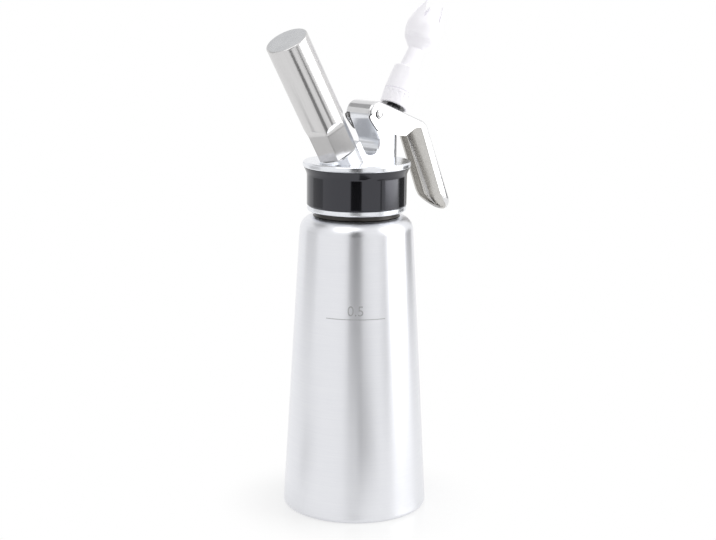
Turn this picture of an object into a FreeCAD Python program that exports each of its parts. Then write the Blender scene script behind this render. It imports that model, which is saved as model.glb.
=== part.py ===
import FreeCAD, Part
import math
import os
import Sketcher

# Whipped cream dispenser for half a litre, in millimetres, +Z up.
# The origin is the middle of the bottle's foot, on the table. The head's two sloping
# axes lie in the XZ plane: the charger leans towards -X, the nozzle towards +X, where
# the lever hangs down beside the bottle. Threads are plain clearance cylinders.

DIMENSIONS = {
    # bottle
    "foot_radius": 42.3, "foot_corner": 2.5, "wall": 1.2, "foot_ring": 34.0, "foot_ring_depth": 0.8,
    "shoulder_radius": 32.4, "shoulder_level": 172.9, "shoulder_round": 8.0,
    "neck_radius": 25.2, "neck_wall": 1.8, "mouth_level": 195.8,
    # head, skirt and grip
    "gasket_thickness": 2.0, "gasket_bore": 21.6,
    "skirt_foot": 176.0, "rim_top": 179.3, "rim_radius": 28.5, "skirt_radius": 27.2, "skirt_bore": 25.4,
    "flange_foot": 201.3, "flange_top": 204.6, "flange_radius": 31.1,
    "grip_radius": 28.8, "grip_flare": 30.4, "grip_flare_level": 197.4,
    # sloping axes, both given where they cross the axes level
    "axes_level": 202.7, "holder_foot": 10.6, "holder_tilt": 31.5, "valve_foot": 11.6, "valve_tilt": 30.0,
    # charger side, lengths along the charger axis from the axes level
    "boss_radius": 11.6, "boss_end": 10.0, "spigot_radius": 9.3, "spigot_end": 21.0,
    "seat_radius": 4.9, "seat_level": 13.0, "insert_radius": 3.0, "insert_foot": 3.0,
    "gas_bore": 1.0, "inlet_radius": 4.6, "inlet_length": 4.6, "inlet_x": -9.0,
    "holder_radius": 12.05, "holder_open": 10.3, "holder_end": 84.2, "holder_bore": 9.5, "holder_floor": 81.2,
    "flat_apothem": 10.45, "flat_top": 26.0, "flat_cutter": 12.0, "flat_turn": 15.0,
    "charger_neck": 15.3, "charger_radius": 9.2, "charger_neck_radius": 4.4, "charger_end": 80.8,
    "charger_wall": 1.6, "needle_tip": 17.6, "needle_radius": 0.8,
    # arm, slot and pivot
    "arm_width": 17.5, "arm_edge": 0.9, "slot_radius": 6.2, "slot_x": 3.2, "slot_z": 214.5, "housing_end": 28.8, "shelf": 20.0,
    "pin_x": 7.4, "pin_z": 231.4, "pin_radius": 2.0, "eye": 5.6, "bush_radius": 3.2, "pin_head": 2.75,
    # valve side, lengths along the valve axis from the axes level
    "valve_boss_radius": 7.5, "valve_boss_end": -14.0, "flow_bore": 3.9, "stem_bore": 4.15, "guide_bore": 5.2,
    "guide_foot": 6.0, "guide_top": 21.2, "guide_flange": 6.6, "stem_radius": 3.5, "stem_neck": 2.0,
    "stem_passage": 1.6, "stem_foot": -19.5, "stem_top": 47.0, "collar_foot": 28.7, "collar_top": 30.3,
    "collar_radius": 6.0, "ring_section": 0.65,
    "spring_radius": 5.2, "spring_wire": 0.4, "spring_turns": 3.0,
    # nozzle, lengths along the valve axis
    "nozzle_foot": 36.0, "ribbed_top": 45.0, "adapter_top": 60.0, "adapter_radius": 8.85, "adapter_bore": 4.15,
    "tip_spigot": 52.5, "tip_spigot_radius": 5.2, "tip_stem": 5.6, "tip_neck": 4.5, "tip_neck_level": 72.8,
    "tip_bulb": 11.0, "tip_bulb_level": 87.0, "tip_mouth": 6.3, "tip_end": 102.8, "tip_wall": 1.2,
    "tine_root": 91.0,
    # lever
    "lever_width": 20.5, "sheet": 1.2, "lever_rear": 7.2, "lever_bend": 2.6, "web_slope": 20.0,
    "knee_x": 48.1, "handle_end_x": 75.4, "handle_steepness": 2.055, "handle_low": 168.9,
    "stem_slot_foot": 20.6, "stem_slot_end": 34.2, "stem_slot_width": 9.2, "web_end": 232.0,
}


class Size:
    """A length or an angle: its number, and the sheet formula that gives it."""

    def __init__(self, number, formula):
        self.number = number
        self.formula = formula

    def __add__(self, other):
        other = as_size(other)
        return Size(self.number + other.number, f"({self.formula} + {other.formula})")

    def __sub__(self, other):
        other = as_size(other)
        return Size(self.number - other.number, f"({self.formula} - {other.formula})")

    def __mul__(self, other):
        other = as_size(other)
        return Size(self.number * other.number, f"({self.formula} * {other.formula})")

    def __truediv__(self, other):
        other = as_size(other)
        return Size(self.number / other.number, f"({self.formula} / {other.formula})")

    def __radd__(self, other):
        return as_size(other) + self

    def __rsub__(self, other):
        return as_size(other) - self

    def __rmul__(self, other):
        return as_size(other) * self

    def __neg__(self):
        return as_size(0) - self


def as_size(value):
    return value if isinstance(value, Size) else Size(float(value), str(value))


def sine(angle):
    angle = as_size(angle)
    return Size(math.sin(math.radians(angle.number)), f"sin({angle.formula})")


def cosine(angle):
    angle = as_size(angle)
    return Size(math.cos(math.radians(angle.number)), f"cos({angle.formula})")


doc = FreeCAD.newDocument("Dispenser")
sheet = doc.addObject("Spreadsheet::Sheet", "Sizes")
for row, (alias, number) in enumerate(DIMENSIONS.items(), start=1):
    sheet.set(f"A{row}", str(number))
    sheet.setAlias(f"A{row}", alias)
doc.recompute()


class Dimensions:
    """Gives each sheet cell as a Size by its alias."""

    def __getattr__(self, alias):
        return Size(DIMENSIONS[alias], f"Sizes.{alias}")


d = Dimensions()
made = []


# ---- sketches and features --------------------------------------------------------------


def bind(item, path, size):
    item.setExpression(path, as_size(size).formula)


def new_body(name):
    body = doc.addObject("PartDesign::Body", name)
    body.Label = name
    made.append(body)
    return body


def new_sketch(body, name, plane="XZ_Plane", lift=None, tilt=None, foot=None, level=None):
    """A sketch on one of the body's planes, lifted off it, or turned in it about a foot point."""
    sketch = body.newObject("Sketcher::SketchObject", name)
    support = next(item for item in body.Origin.OriginFeatures if item.Role == plane)
    sketch.AttachmentSupport = [(support, "")]
    sketch.MapMode = "FlatFace"
    if lift is not None:
        bind(sketch, ".AttachmentOffset.Base.z", lift)
    if foot is not None:
        leans_back = tilt.number > 0
        axis = FreeCAD.Vector(0, 0, 1 if leans_back else -1)
        start = FreeCAD.Vector(foot.number, level.number, 0)
        sketch.AttachmentOffset = FreeCAD.Placement(start, FreeCAD.Rotation(axis, abs(tilt.number)))
        bind(sketch, ".AttachmentOffset.Base.x", foot)
        bind(sketch, ".AttachmentOffset.Base.y", level)
        bind(sketch, ".AttachmentOffset.Rotation.Angle", tilt if leans_back else -tilt)
    return sketch


def constrain(sketch, kind, *parts, size=None):
    """Adds a constraint, bound to the sheet where it has a size."""
    if size is None:
        sketch.addConstraint(Sketcher.Constraint(kind, *parts))
        return
    index = sketch.addConstraint(Sketcher.Constraint(kind, *parts, size.number))
    sketch.setExpression(f"Constraints[{index}]", size.formula)


def pin_point(sketch, geometry, place, x, y):
    constrain(sketch, "DistanceX", -1, 1, geometry, place, size=x)
    constrain(sketch, "DistanceY", -1, 1, geometry, place, size=y)


SMALL = 0.75


def draw_outline(sketch, corners):
    """A closed outline through corners (x, y) or (x, y, size), each bound to the sheet.

    A corner with a size is a round of that radius or, under three quarters of a millimetre,
    a bevel that takes that much off both sides.
    """
    points = [tuple(as_size(value) for value in corner) for corner in corners]
    count = len(points)
    spots = [FreeCAD.Vector(point[0].number, point[1].number, 0) for point in points]
    ends = []
    for i, point in enumerate(points):
        before = (spots[i - 1] - spots[i]).normalize()
        after = (spots[(i + 1) % count] - spots[i]).normalize()
        reach = 0.0
        if len(point) > 2:
            reach = point[2].number
            if reach > SMALL:
                reach = reach / math.tan(before.getAngle(after) / 2)
        ends.append((spots[i] + before * reach, spots[i] + after * reach, before, after))
    lines = []
    for i in range(count):
        segment = Part.LineSegment(ends[i][1], ends[(i + 1) % count][0])
        lines.append(sketch.addGeometry(segment, False))
    for i, point in enumerate(points):
        line_in, line_out = lines[i - 1], lines[i]
        if len(point) == 2:
            constrain(sketch, "Coincident", line_in, 2, line_out, 1)
            pin_point(sketch, line_out, 1, point[0], point[1])
            continue
        start, end, before, after = ends[i]
        radius = point[2].number
        corner = sketch.addGeometry(Part.Point(spots[i]), True)
        constrain(sketch, "PointOnObject", corner, 1, line_in)
        constrain(sketch, "PointOnObject", corner, 1, line_out)
        pin_point(sketch, corner, 1, point[0], point[1])
        if radius <= SMALL:
            bevel = sketch.addGeometry(Part.LineSegment(start, end), False)
            constrain(sketch, "Coincident", line_in, 2, bevel, 1)
            constrain(sketch, "Coincident", bevel, 2, line_out, 1)
            constrain(sketch, "Distance", corner, 1, bevel, 1, size=point[2])
            constrain(sketch, "Distance", corner, 1, bevel, 2, size=point[2])
            continue
        toward = (before + after).normalize()
        centre = spots[i] + toward * (radius / math.sin(before.getAngle(after) / 2))
        middle = centre - toward * radius
        arc = sketch.addGeometry(Part.Arc(start, middle, end), False)
        turns_left = (before.cross(after)).z < 0
        arc_in, arc_out = (1, 2) if turns_left else (2, 1)
        constrain(sketch, "Tangent", line_in, 2, arc, arc_in)
        constrain(sketch, "Tangent", arc, arc_out, line_out, 1)
        constrain(sketch, "Radius", arc, size=point[2])


def draw_circle(sketch, x, y, radius):
    x, y, radius = as_size(x), as_size(y), as_size(radius)
    centre = FreeCAD.Vector(x.number, y.number, 0)
    circle = Part.Circle(centre, FreeCAD.Vector(0, 0, 1), radius.number)
    index = sketch.addGeometry(circle, False)
    pin_point(sketch, index, 3, x, y)
    constrain(sketch, "Radius", index, size=radius)


def spin(body, sketch, name, cut=False):
    """Revolves a sketch once round its upright axis, to add or to cut."""
    kind = "PartDesign::Groove" if cut else "PartDesign::Revolution"
    feature = body.newObject(kind, name)
    feature.Profile = sketch
    feature.ReferenceAxis = (sketch, ["V_Axis"])
    feature.Angle = 360
    doc.recompute()
    return feature


def pad(body, sketch, name, length):
    """Pads a sketch to both sides of its plane."""
    feature = body.newObject("PartDesign::Pad", name)
    feature.Profile = sketch
    feature.Midplane = True
    bind(feature, "Length", length)
    doc.recompute()
    return feature


def pocket(body, sketch, name, length, both=True, flip=False):
    """Cuts a sketch out of the body, and makes sure that it took something away."""
    volume = body.Shape.Volume
    feature = body.newObject("PartDesign::Pocket", name)
    feature.Profile = sketch
    feature.Midplane = both
    feature.Reversed = flip
    bind(feature, "Length", length)
    doc.recompute()
    if body.Shape.Volume > volume - 0.01:
        raise RuntimeError(f"{name} cuts nothing")
    return feature


def polar(body, feature, sketch, count):
    """Repeats a feature round its sketch's upright axis."""
    pattern = body.newObject("PartDesign::PolarPattern", feature.Name + "_round")
    pattern.Originals = [feature]
    pattern.Axis = (sketch, ["V_Axis"])
    pattern.Angle = 360
    pattern.Occurrences = count
    body.Tip = pattern
    doc.recompute()
    return pattern


def turned(name, corners):
    """A body turned from one outline of (radius, level) corners."""
    body = new_body(name)
    sketch = new_sketch(body, name + "_profile")
    draw_outline(sketch, corners)
    spin(body, sketch, name + "_turning")
    return body


def set_on_axis(item, foot, leans_to_plus_x, tilt):
    """Places a piece modelled upright on one of the head's sloping axes."""
    axis = FreeCAD.Vector(0, 1 if leans_to_plus_x else -1, 0)
    start = FreeCAD.Vector(foot.number, 0, d.axes_level.number)
    item.Placement = FreeCAD.Placement(start, FreeCAD.Rotation(axis, tilt.number))
    bind(item, ".Placement.Base.x", foot)
    bind(item, ".Placement.Base.z", d.axes_level)
    bind(item, ".Placement.Rotation.Angle", tilt)


def on_charger_axis(item):
    set_on_axis(item, -d.holder_foot, False, d.holder_tilt)


def on_valve_axis(item):
    set_on_axis(item, d.valve_foot, True, d.valve_tilt)


# ---- bottle and its seal ----------------------------------------------------------------


def make_bottle():
    """Deep drawn shell: flat foot with a pressed ring, tapered side, rolled shoulder, thin neck."""
    wall = d.wall
    neck_inside = d.neck_radius - d.neck_wall
    body = turned("bottle", [
        (0, 0),
        (d.foot_radius, 0, d.foot_corner),
        (d.shoulder_radius, d.shoulder_level, d.shoulder_round),
        (d.neck_radius, d.shoulder_level, 0.8),
        (d.neck_radius, d.mouth_level - 2.4, 0.4),
        (d.neck_radius - 0.8, d.mouth_level - 2.4, 0.3),
        (d.neck_radius - 0.8, d.mouth_level, 0.4),
        (neck_inside, d.mouth_level, 0.4),
        (neck_inside, d.shoulder_level - wall, 1.2),
        (d.shoulder_radius - wall - 0.1, d.shoulder_level - wall, d.shoulder_round - wall),
        (d.foot_radius - wall, wall * 1.5, d.foot_corner),
        (0, wall * 1.5),
    ])
    ring = new_sketch(body, "foot_ring_groove")
    draw_outline(ring, [
        (d.foot_ring - 2, -0.5),
        (d.foot_ring + 2, -0.5),
        (d.foot_ring + 1, d.foot_ring_depth),
        (d.foot_ring - 1, d.foot_ring_depth),
    ])
    spin(body, ring, "foot_ring_cut", cut=True)


def make_head_gasket():
    """Moulded silicone ring between mouth and head, with a small sealing lip inside."""
    foot = d.mouth_level
    top = d.mouth_level + d.gasket_thickness
    turned("head_gasket", [
        (d.gasket_bore, foot + 0.5, 0.4),
        (d.gasket_bore + 1.6, foot, 0.3),
        (d.skirt_bore - 0.2, foot, 0.4),
        (d.skirt_bore - 0.2, top, 0.4),
        (d.gasket_bore + 1.6, top, 0.3),
        (d.gasket_bore, top - 0.5, 0.4),
    ])


# ---- head -------------------------------------------------------------------------------


def make_head_body():
    """One stainless casting: flange and skirt, charger boss, slotted arm and valve housing."""
    body = new_body("head_body")
    seat = d.mouth_level + d.gasket_thickness

    # The arm and valve housing are one flat sided plate. Its shelf is square to the valve axis.
    e_x, e_z = cosine(d.holder_tilt), sine(d.holder_tilt)
    u_x, u_z = -sine(d.holder_tilt), cosine(d.holder_tilt)
    foot_x = -d.holder_foot
    boss_mid = (foot_x + u_x * d.boss_end, d.axes_level + u_z * d.boss_end)
    boss_side = (boss_mid[0] + e_x * d.boss_radius, boss_mid[1] + e_z * d.boss_radius)
    slot_floor = d.slot_z - d.slot_radius
    drop = (boss_side[1] - slot_floor) / u_z
    slot_left = (boss_side[0] - u_x * drop, slot_floor)
    slot_right = d.slot_x + d.slot_radius
    round_in_slot = d.slot_radius - 0.25
    shelf_x = d.valve_foot + sine(d.valve_tilt) * d.shelf
    shelf_z = d.axes_level + cosine(d.valve_tilt) * d.shelf
    fall = sine(d.valve_tilt) / cosine(d.valve_tilt)
    eye_right = d.pin_x + d.eye
    arm = new_sketch(body, "arm_outline")
    draw_outline(arm, [
        (boss_mid[0], d.flange_foot + 1),
        (d.housing_end, d.flange_foot + 1),
        (d.housing_end, shelf_z - (d.housing_end - shelf_x) * fall),
        (eye_right, shelf_z + (shelf_x - eye_right) * fall, 1.5),
        (eye_right, d.pin_z + d.eye, d.eye - 0.2),
        (d.pin_x - d.eye, d.pin_z + d.eye, d.eye - 0.2),
        (d.pin_x - d.eye, d.pin_z - 1.6, 6),
        (slot_right, d.slot_z + 1.8, round_in_slot),
        (slot_right, slot_floor, round_in_slot),
        (slot_left[0], slot_floor, round_in_slot),
        (boss_side[0], boss_side[1], 1.2),
        (boss_mid[0], boss_mid[1]),
    ])
    pad(body, arm, "arm_plate", d.arm_width)

    # The free end of the housing is rounded in plan.
    half = d.arm_width / 2
    start = d.housing_end - half
    far = d.housing_end + 3
    side = half + 1
    rounding = new_sketch(body, "rounding_outline", plane="XY_Plane", lift=d.flange_foot)
    draw_outline(rounding, [
        (start, -half),
        (d.housing_end, -half, half - 0.05),
        (d.housing_end, half, half - 0.05),
        (start, half),
        (start, side),
        (far, side),
        (far, -side),
        (start, -side),
    ])
    pocket(body, rounding, "rounding", as_size(22), both=False, flip=True)

    # Its long edges are rounded, from the charger's boss over the eye and round the housing.
    plate = body.Tip
    edges = []
    for number, edge in enumerate(body.Shape.Edges, start=1):
        box = edge.BoundBox
        on_side = box.YLength < 0.01 and abs(abs(box.YMax) - DIMENSIONS["arm_width"] / 2) < 0.01
        if on_side and abs(box.ZMax - d.pin_z.number - d.eye.number) < 0.01:
            edges.append(f"Edge{number}")
    rounded = body.newObject("PartDesign::Fillet", "arm_edges")
    rounded.Base = (plate, edges)
    bind(rounded, "Radius", d.arm_edge)
    doc.recompute()

    cap = new_sketch(body, "cap_profile")
    draw_outline(cap, [
        (0, seat),
        (d.skirt_bore, seat, 0.3),
        (d.skirt_bore, d.skirt_foot + 0.6),
        (d.skirt_bore + 0.8, d.skirt_foot),
        (d.rim_radius, d.skirt_foot, 1.0),
        (d.rim_radius, d.rim_top, 0.5),
        (d.skirt_radius, d.rim_top),
        (d.skirt_radius, d.flange_foot),
        (d.flange_radius, d.flange_foot, 0.6),
        (d.flange_radius, d.flange_top, 1.2),
        (0, d.flange_top),
    ])
    spin(body, cap, "cap_turning")

    charger_tilt = dict(tilt=d.holder_tilt, foot=-d.holder_foot, level=d.axes_level)
    boss = new_sketch(body, "boss_profile", **charger_tilt)
    draw_outline(boss, [
        (0, -3),
        (d.boss_radius, -3),
        (d.boss_radius, d.boss_end, 0.5),
        (d.spigot_radius, d.boss_end),
        (d.spigot_radius, d.spigot_end, 0.8),
        (0, d.spigot_end),
    ])

    valve_tilt = dict(tilt=-d.valve_tilt, foot=d.valve_foot, level=d.axes_level)
    valve_boss = new_sketch(body, "valve_boss_profile", **valve_tilt)
    draw_outline(valve_boss, [
        (0, d.valve_boss_end),
        (d.valve_boss_radius - 2, d.valve_boss_end, 0.8),
        (d.valve_boss_radius, d.valve_boss_end + 3.5, 1.0),
        (d.valve_boss_radius, -1),
        (0, -1),
    ])
    spin(body, valve_boss, "valve_boss_turning")

    upright_inlet = dict(tilt=as_size(0), foot=d.inlet_x, level=seat)
    inlet_boss = new_sketch(body, "inlet_boss_profile", **upright_inlet)
    draw_outline(inlet_boss, [
        (0, -d.inlet_length),
        (d.inlet_radius, -d.inlet_length, 0.5),
        (d.inlet_radius, 1),
        (0, 1),
    ])
    spin(body, inlet_boss, "inlet_boss_turning")

    spin(body, boss, "boss_turning")

    gas_way = new_sketch(body, "gas_way_profile", **charger_tilt)
    draw_outline(gas_way, [
        (0, -2.6),
        (d.gas_bore, -2.6),
        (d.gas_bore, d.insert_foot),
        (d.insert_radius, d.insert_foot),
        (d.insert_radius, d.seat_level),
        (d.seat_radius, d.seat_level),
        (d.seat_radius, d.spigot_end - 1.2),
        (d.seat_radius + 1.4, d.spigot_end + 0.2),
        (0, d.spigot_end + 0.2),
    ])
    spin(body, gas_way, "gas_way_cut", cut=True)

    inlet_way = new_sketch(body, "inlet_way_profile", **upright_inlet)
    draw_outline(inlet_way, [
        (0, -d.inlet_length - 1),
        (d.gas_bore, -d.inlet_length - 1),
        (d.gas_bore, 3.2),
        (0, 3.2),
    ])
    spin(body, inlet_way, "inlet_way_cut", cut=True)

    valve_way = new_sketch(body, "valve_way_profile", **valve_tilt)
    draw_outline(valve_way, [
        (0, d.valve_boss_end - 1),
        (d.flow_bore + 1, d.valve_boss_end - 1),
        (d.flow_bore, d.valve_boss_end + 1),
        (d.flow_bore, -6.4),
        (d.stem_bore, -6),
        (d.stem_bore, d.guide_foot),
        (d.guide_bore, d.guide_foot),
        (d.guide_bore, d.shelf + 1),
        (0, d.shelf + 1),
    ])
    spin(body, valve_way, "valve_way_cut", cut=True)

    pin_hole = new_sketch(body, "pin_hole_outline")
    draw_circle(pin_hole, d.pin_x, d.pin_z, d.bush_radius)
    pocket(body, pin_hole, "pin_hole", d.arm_width + 4)


def make_grip_ring():
    """Glossy silicone sleeve on the skirt, flared to the flange."""
    turned("grip_ring", [
        (d.skirt_radius, d.rim_top),
        (d.grip_radius, d.rim_top, 0.5),
        (d.grip_radius, d.grip_flare_level, 5),
        (d.grip_flare, d.flange_foot - 0.4, 0.2),
        (d.grip_flare, d.flange_foot),
        (d.skirt_radius, d.flange_foot),
    ])


# ---- gas charger side, each piece upright on the charger axis ----------------------------


def make_piercing_pin():
    """Steel insert screwed into the seat, with a hollow needle."""
    needle = d.needle_radius
    body = turned("piercing_pin", [
        (0.35, d.insert_foot),
        (d.insert_radius - 0.03, d.insert_foot, 0.3),
        (d.insert_radius - 0.03, d.seat_level, 0.3),
        (needle + 0.5, d.seat_level + 0.4, 0.5),
        (needle, d.needle_tip - 2),
        (0.35, d.needle_tip),
    ])
    on_charger_axis(body)


def make_piercing_seal():
    """Rubber ring round the needle: the charger's neck is pressed on it."""
    top = d.charger_neck - 0.1
    body = turned("piercing_seal", [
        (d.needle_radius + 1.2, d.seat_level + 0.4),
        (d.seat_radius - 0.05, d.seat_level, 0.4),
        (d.seat_radius - 0.05, top, 0.4),
        (d.needle_radius + 1.2, top, 0.4),
    ])
    on_charger_axis(body)


def make_inlet_valve():
    """Rubber cap on the gas inlet: its slit lets gas in and keeps cream out."""
    skin = 1.0
    radius = d.inlet_radius
    end = -d.inlet_length
    body = turned("inlet_valve", [
        (0, end),
        (radius, end),
        (radius, end + 3.6),
        (radius + skin, end + 3.6, 0.4),
        (radius + skin, end - 0.6, 1.2),
        (1.4, end - 3.2, 0.6),
        (0, end - 3.2),
    ])
    slit = new_sketch(body, "slit_outline")
    draw_outline(slit, [(-0.2, end - 4), (0.2, end - 4), (0.2, end + 0.5), (-0.2, end + 0.5)])
    pocket(body, slit, "slit", as_size(2.6))
    seat = d.mouth_level + d.gasket_thickness
    body.Placement.Base = FreeCAD.Vector(d.inlet_x.number, 0, seat.number)
    bind(body, ".Placement.Base.x", d.inlet_x)
    bind(body, ".Placement.Base.z", seat)


def make_gas_charger():
    """Eight gram steel cartridge, open at its pierced neck."""
    outer, neck, skin = d.charger_radius, d.charger_neck_radius, d.charger_wall
    mouth, end = d.charger_neck, d.charger_end
    hole = d.needle_radius + 0.4
    body = turned("gas_charger", [
        (hole, mouth),
        (neck - 0.6, mouth, 0.3),
        (neck, mouth + 1, 0.4),
        (neck, mouth + 8, 2),
        (outer, mouth + 15.5, 9),
        (outer, end, 7.5),
        (0, end),
        (0, end - skin),
        (outer - skin - 3.5, end - skin),
        (outer - skin, end - skin - 3.5),
        (outer - skin, mouth + 19),
        (neck - skin, mouth + 9.5),
        (neck - skin, mouth + 2.4),
        (hole, mouth + 2.4),
    ])
    on_charger_axis(body)


def make_charger_holder():
    """Turned and polished tube, closed at its end, with six flats milled at its open end."""
    radius = d.holder_radius
    body = turned("charger_holder", [
        (d.holder_bore, d.holder_open),
        (radius, d.holder_open, 0.4),
        (radius, d.holder_end, 0.7),
        (0, d.holder_end),
        (0, d.holder_floor),
        (d.holder_bore, d.holder_floor, 1.5),
    ])
    # Each flat ends in the round of its cutter. A corner between two flats faces the front left.
    run_out = 2 * d.flat_cutter
    flat = new_sketch(body, "flat_outline")
    draw_outline(flat, [
        (d.flat_apothem, d.holder_open - 1),
        (d.flat_apothem + run_out, d.holder_open - 1),
        (d.flat_apothem + run_out, d.flat_top + d.flat_cutter),
        (d.flat_apothem, d.flat_top + d.flat_cutter, d.flat_cutter - 0.05),
    ])
    turned_plane = FreeCAD.Rotation(FreeCAD.Vector(0, 1, 0), d.flat_turn.number)
    flat.AttachmentOffset = FreeCAD.Placement(FreeCAD.Vector(), turned_plane)
    bind(flat, ".AttachmentOffset.Rotation.Angle", d.flat_turn)
    cut = pocket(body, flat, "flat", radius * 2)
    polar(body, cut, flat, 6)
    on_charger_axis(body)


# ---- valve, each piece upright on the valve axis ------------------------------------------


def make_valve_stem():
    """Hollow turned stem: threaded foot, side ports, two ring grooves, collar, threaded top."""
    radius = d.stem_radius
    groove = radius - 0.7
    lower, upper = as_size(-1), as_size(3)
    half = d.ring_section + 0.1
    body = turned("valve_stem", [
        (0, d.stem_foot),
        (d.stem_neck, d.stem_foot, 0.4),
        (d.stem_neck, -13.5),
        (d.stem_neck + 0.6, -12.5),
        (d.stem_neck + 0.6, -6.6),
        (radius, -5.8),
        (radius, lower - half),
        (groove, lower - half),
        (groove, lower + half),
        (radius, lower + half),
        (radius, upper - half),
        (groove, upper - half),
        (groove, upper + half),
        (radius, upper + half),
        (radius, d.collar_foot),
        (d.collar_radius, d.collar_foot, 0.2),
        (d.collar_radius, d.collar_top, 0.4),
        (radius + 0.5, d.collar_top),
        (radius + 0.5, d.stem_top, 0.5),
        (d.stem_passage, d.stem_top),
        (d.stem_passage, -10),
        (0, -11),
    ])
    port = new_sketch(body, "port_outline", plane="XY_Plane", lift=as_size(-8))
    draw_outline(port, [(-4, -0.9), (4, -0.9), (4, 0.9), (-4, 0.9)])
    pocket(body, port, "ports", as_size(2.4))
    on_valve_axis(body)


def make_stem_ring(name, level):
    """O-ring in its groove, touching the bore."""
    section = d.ring_section
    mid = d.stem_bore - 0.03 - section
    body = new_body(name)
    sketch = new_sketch(body, name + "_profile")
    flats = []
    for step in range(8):
        turn = 45 * step + 22.5
        flats.append((mid + section * cosine(turn), level + section * sine(turn)))
    draw_outline(sketch, flats)
    spin(body, sketch, name + "_turning")
    on_valve_axis(body)


def make_valve_disc():
    """Rubber disc that closes the bore from inside."""
    top = d.valve_boss_end - 0.08
    body = turned("valve_disc", [
        (d.stem_neck, top - 2),
        (5.2, top - 2, 0.4),
        (5.2, top - 0.6, 0.3),
        (4.6, top, 0.2),
        (d.stem_neck, top),
    ])
    on_valve_axis(body)


def make_valve_nut():
    """Hexagon nut under the disc."""
    across = 3.6
    body = new_body("valve_nut")
    sketch = new_sketch(body, "valve_nut_outline", plane="XY_Plane", lift=d.valve_boss_end - 3.58)
    corners = []
    for step in range(6):
        angle = math.radians(60 * step)
        corners.append((round(across * math.cos(angle), 4), round(across * math.sin(angle), 4)))
    draw_outline(sketch, corners)
    draw_circle(sketch, 0, 0, d.stem_neck)
    pad(body, sketch, "valve_nut_plate", as_size(3))
    on_valve_axis(body)


def make_valve_guide():
    """Brass bush screwed into the housing: guides the stem and carries the spring."""
    bore = d.stem_radius + 0.05
    body = turned("valve_guide", [
        (bore, d.guide_foot),
        (d.guide_bore - 0.02, d.guide_foot, 0.4),
        (d.guide_bore - 0.02, d.shelf),
        (d.guide_flange, d.shelf, 0.2),
        (d.guide_flange, d.guide_top, 0.4),
        (bore, d.guide_top, 0.3),
    ])
    on_valve_axis(body)


def make_valve_spring():
    """Compression spring between guide and collar."""
    foot = d.guide_top + d.spring_wire + 0.05
    length = d.collar_foot - d.guide_top - d.spring_wire * 2 - 0.1
    body = new_body("valve_spring")
    sketch = new_sketch(body, "wire_section")
    flats = []
    for step in range(8):
        turn = 45 * step + 22.5
        flats.append((d.spring_radius + d.spring_wire * cosine(turn), foot + d.spring_wire * sine(turn)))
    draw_outline(sketch, flats)
    coil = body.newObject("PartDesign::AdditiveHelix", "coil")
    coil.Profile = sketch
    coil.ReferenceAxis = (sketch, ["V_Axis"])
    coil.Mode = "height-turns-angle"
    bind(coil, "Height", length)
    bind(coil, "Turns", d.spring_turns)
    doc.recompute()
    on_valve_axis(body)


# ---- nozzle -------------------------------------------------------------------------------


def make_nozzle_seal():
    """Ring between the stem's end and the adapter."""
    foot = d.stem_top + 0.05
    body = turned("nozzle_seal", [
        (d.stem_passage + 0.6, foot, 0.3),
        (d.adapter_bore - 0.1, foot, 0.3),
        (d.adapter_bore - 0.1, foot + 1.4, 0.3),
        (d.stem_passage + 0.6, foot + 1.4, 0.3),
    ])
    on_valve_axis(body)


def make_nozzle_adapter():
    """Moulded adapter: ribbed collar to turn it by, plain sleeve, threaded at both ends."""
    radius = d.adapter_radius
    seat = d.stem_top + 1.5
    body = turned("nozzle_adapter", [
        (d.adapter_bore, d.nozzle_foot),
        (radius - 0.6, d.nozzle_foot, 0.8),
        (radius, d.ribbed_top - 1.2, 0.5),
        (radius, d.ribbed_top - 0.4, 0.2),
        (radius - 0.7, d.ribbed_top - 0.4),
        (radius - 0.7, d.ribbed_top),
        (radius, d.ribbed_top, 0.3),
        (radius - 0.5, d.adapter_top, 1.0),
        (d.tip_spigot_radius + 0.05, d.adapter_top),
        (d.tip_spigot_radius + 0.05, d.tip_spigot - 0.1),
        (3, d.tip_spigot - 0.1),
        (3, seat + 1),
        (2.4, seat),
        (d.adapter_bore, seat),
    ])
    rib = new_sketch(body, "flute_outline", plane="XY_Plane", lift=d.nozzle_foot - 1)
    draw_circle(rib, radius + 0.5, 0, 0.95)
    flute = pocket(body, rib, "flute", d.ribbed_top - d.nozzle_foot - 0.6, both=False, flip=True)
    upright = body.Origin.OriginFeatures
    pattern = body.newObject("PartDesign::PolarPattern", "flutes")
    pattern.Originals = [flute]
    pattern.Axis = (next(item for item in upright if item.Role == "Z_Axis"), [""])
    pattern.Angle = 360
    pattern.Occurrences = 16
    body.Tip = pattern
    doc.recompute()
    on_valve_axis(body)


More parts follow.
